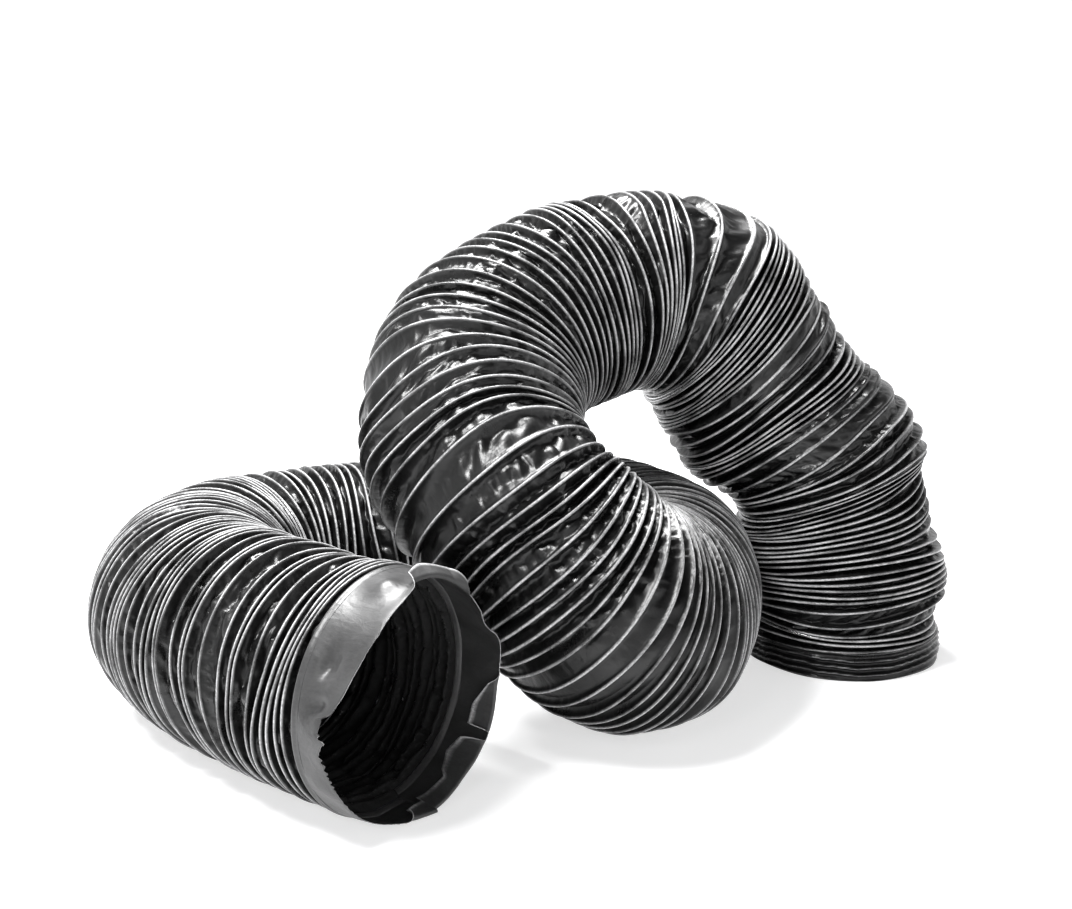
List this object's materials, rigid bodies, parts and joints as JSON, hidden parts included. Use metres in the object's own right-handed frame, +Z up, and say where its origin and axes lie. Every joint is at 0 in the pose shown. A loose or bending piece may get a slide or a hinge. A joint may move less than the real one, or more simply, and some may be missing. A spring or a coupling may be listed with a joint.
{
  "type": "flexible air duct",
  "caption": "Flexible round air duct, a black fabric sleeve on a spring wire helix, lying in a loop with an arch and an upright end, with a plain cuff at each end.",
  "frame": {"origin": "middle of the object's base on the floor", "axes": "+X along the longest extent, from the left bend towards the upright end, +Z up, -Y the side that the mouth opens to"},
  "size_m": [0.8621, 0.6519, 0.4911],
  "materials": {
    "sleeve_fabric": "black PVC-coated polyester, glossy, creased",
    "cuff_fabric": "the same coated fabric, smoother, with a cut edge",
    "spring_wire": "bright drawn spring steel"
  },
  "bodies": {
    "mouth": {"mouth_cuff": "cuff_fabric", "front_leg_1_sleeve": "sleeve_fabric", "front_leg_1_wire": "spring_wire"},
    "leg_2": {"front_leg_2_sleeve": "sleeve_fabric", "front_leg_2_wire": "spring_wire"},
    "leg_3": {"front_leg_3_sleeve": "sleeve_fabric", "front_leg_3_wire": "spring_wire"},
    "leg_4": {"front_leg_4_sleeve": "sleeve_fabric", "front_leg_4_wire": "spring_wire"},
    "bend_1": {"left_bend_1_sleeve": "sleeve_fabric", "left_bend_1_wire": "spring_wire"},
    "bend_2": {"left_bend_2_sleeve": "sleeve_fabric", "left_bend_2_wire": "spring_wire"},
    "bend_3": {"left_bend_3_sleeve": "sleeve_fabric", "left_bend_3_wire": "spring_wire"},
    "bend_4": {"left_bend_4_sleeve": "sleeve_fabric", "left_bend_4_wire": "spring_wire"},
    "floor_loop": {"back_leg_sleeve": "sleeve_fabric", "loop_back_sleeve": "sleeve_fabric", "loop_side_sleeve": "sleeve_fabric", "loop_front_sleeve": "sleeve_fabric", "loop_rise_sleeve": "sleeve_fabric", "back_leg_wire": "spring_wire", "loop_back_wire": "spring_wire", "loop_side_wire": "spring_wire", "loop_front_wire": "spring_wire", "loop_rise_wire": "spring_wire"},
    "arch_1": {"arch_1_sleeve": "sleeve_fabric", "arch_1_wire": "spring_wire"},
    "arch_2": {"arch_2_sleeve": "sleeve_fabric", "arch_2_wire": "spring_wire"},
    "arch_3": {"arch_3_sleeve": "sleeve_fabric", "arch_3_wire": "spring_wire"},
    "arch_4": {"arch_4_sleeve": "sleeve_fabric", "arch_4_wire": "spring_wire"},
    "arch_5": {"arch_5_sleeve": "sleeve_fabric", "arch_5_wire": "spring_wire"},
    "arch_6": {"arch_6_sleeve": "sleeve_fabric", "arch_6_wire": "spring_wire"},
    "limb": {"limb_1_sleeve": "sleeve_fabric", "limb_2_sleeve": "sleeve_fabric", "limb_1_wire": "spring_wire", "limb_2_wire": "spring_wire"},
    "stack_1": {"stack_1_sleeve": "sleeve_fabric", "stack_1_wire": "spring_wire"},
    "stack_2": {"stack_2_sleeve": "sleeve_fabric", "stack_2_wire": "spring_wire"},
    "foot": {"stack_3_sleeve": "sleeve_fabric", "stack_3_wire": "spring_wire", "foot_cuff": "cuff_fabric"}
  },
  "joints": [
    {"name": "mouth_swing", "type": "hinge", "parent": "floor_loop", "child": "bend_4", "pos_m": [-0.2162, 0.0486, 0.104], "axis": [0, 0, -1], "range_deg": [0, 9]},
    {"name": "bend_fold_2", "type": "hinge", "parent": "bend_4", "child": "bend_3", "pos_m": [-0.223, 0.041, 0.104], "axis": [0, 0, -1], "range_deg": [0, 9]},
    {"name": "bend_fold_3", "type": "hinge", "parent": "bend_3", "child": "bend_2", "pos_m": [-0.2234, 0.0351, 0.104], "axis": [0, 0, -1], "range_deg": [0, 9]},
    {"name": "bend_fold_4", "type": "hinge", "parent": "bend_2", "child": "bend_1", "pos_m": [-0.2199, 0.021, 0.104], "axis": [0, 0, -1], "range_deg": [0, 8.1]},
    {"name": "bend_fold_5", "type": "hinge", "parent": "bend_1", "child": "leg_4", "pos_m": [-0.202, -0.0045, 0.104], "axis": [0, 0, -1], "range_deg": [0, 6.75]},
    {"name": "mouth_pull", "type": "slide", "parent": "leg_4", "child": "leg_3", "axis": [0.6929, -0.721, 0], "range_m": [-0.012, 0.025]},
    {"name": "leg_stretch_2", "type": "slide", "parent": "leg_3", "child": "leg_2", "axis": [0.7474, -0.6644, 0], "range_m": [-0.012, 0.025]},
    {"name": "leg_stretch_3", "type": "slide", "parent": "leg_2", "child": "mouth", "axis": [0.7862, -0.6179, 0], "range_m": [-0.012, 0.025]},
    {"name": "end_lift", "type": "hinge", "parent": "floor_loop", "child": "arch_1", "pos_m": [0.0353, 0.0219, 0.2144], "axis": [0.6593, -0.3231, 0.6789], "range_deg": [0, 5]},
    {"name": "arch_fold_2", "type": "hinge", "parent": "arch_1", "child": "arch_2", "pos_m": [0.0423, 0.0183, 0.2614], "axis": [0.3543, -0.6067, 0.7117], "range_deg": [0, 5]},
    {"name": "arch_fold_3", "type": "hinge", "parent": "arch_2", "child": "arch_3", "pos_m": [0.0449, 0.0286, 0.2935], "axis": [0.1886, -0.6424, 0.7428], "range_deg": [0, 5]},
    {"name": "arch_fold_4", "type": "hinge", "parent": "arch_3", "child": "arch_4", "pos_m": [0.0575, 0.0485, 0.3027], "axis": [0.221, -0.6505, 0.7267], "range_deg": [0, 5]},
    {"name": "arch_fold_5", "type": "hinge", "parent": "arch_4", "child": "arch_5", "pos_m": [0.0883, 0.0791, 0.3063], "axis": [0.2807, -0.6971, 0.6597], "range_deg": [0, 5]},
    {"name": "arch_fold_6", "type": "hinge", "parent": "arch_5", "child": "arch_6", "pos_m": [0.1119, 0.1172, 0.2958], "axis": [0.3542, -0.8373, 0.4164], "range_deg": [0, 5]},
    {"name": "arch_fold_7", "type": "hinge", "parent": "arch_6", "child": "limb", "pos_m": [0.1262, 0.1426, 0.2783], "axis": [0.2902, -0.9377, 0.1913], "range_deg": [0, 5]},
    {"name": "end_squeeze", "type": "slide", "parent": "limb", "child": "stack_1", "axis": [0, 0, 1], "range_m": [0, 0.01]},
    {"name": "stack_fold_2", "type": "slide", "parent": "stack_1", "child": "stack_2", "axis": [0, 0, 1], "range_m": [0, 0.01]},
    {"name": "stack_fold_3", "type": "slide", "parent": "stack_2", "child": "foot", "axis": [0, 0, 1], "range_m": [0, 0.014]}
  ],
  "couplings": [
    {"joint": "bend_fold_2", "follows": "mouth_swing", "ratio": 1},
    {"joint": "bend_fold_3", "follows": "mouth_swing", "ratio": 1},
    {"joint": "bend_fold_4", "follows": "mouth_swing", "ratio": 0.9},
    {"joint": "bend_fold_5", "follows": "mouth_swing", "ratio": 0.75},
    {"joint": "leg_stretch_2", "follows": "mouth_pull", "ratio": 1},
    {"joint": "leg_stretch_3", "follows": "mouth_pull", "ratio": 1},
    {"joint": "arch_fold_2", "follows": "end_lift", "ratio": 1},
    {"joint": "arch_fold_3", "follows": "end_lift", "ratio": 1},
    {"joint": "arch_fold_4", "follows": "end_lift", "ratio": 1},
    {"joint": "arch_fold_5", "follows": "end_lift", "ratio": 1},
    {"joint": "arch_fold_6", "follows": "end_lift", "ratio": 1},
    {"joint": "arch_fold_7", "follows": "end_lift", "ratio": 1},
    {"joint": "stack_fold_2", "follows": "end_squeeze", "ratio": 1},
    {"joint": "stack_fold_3", "follows": "end_squeeze", "ratio": 1.4}
  ]
}
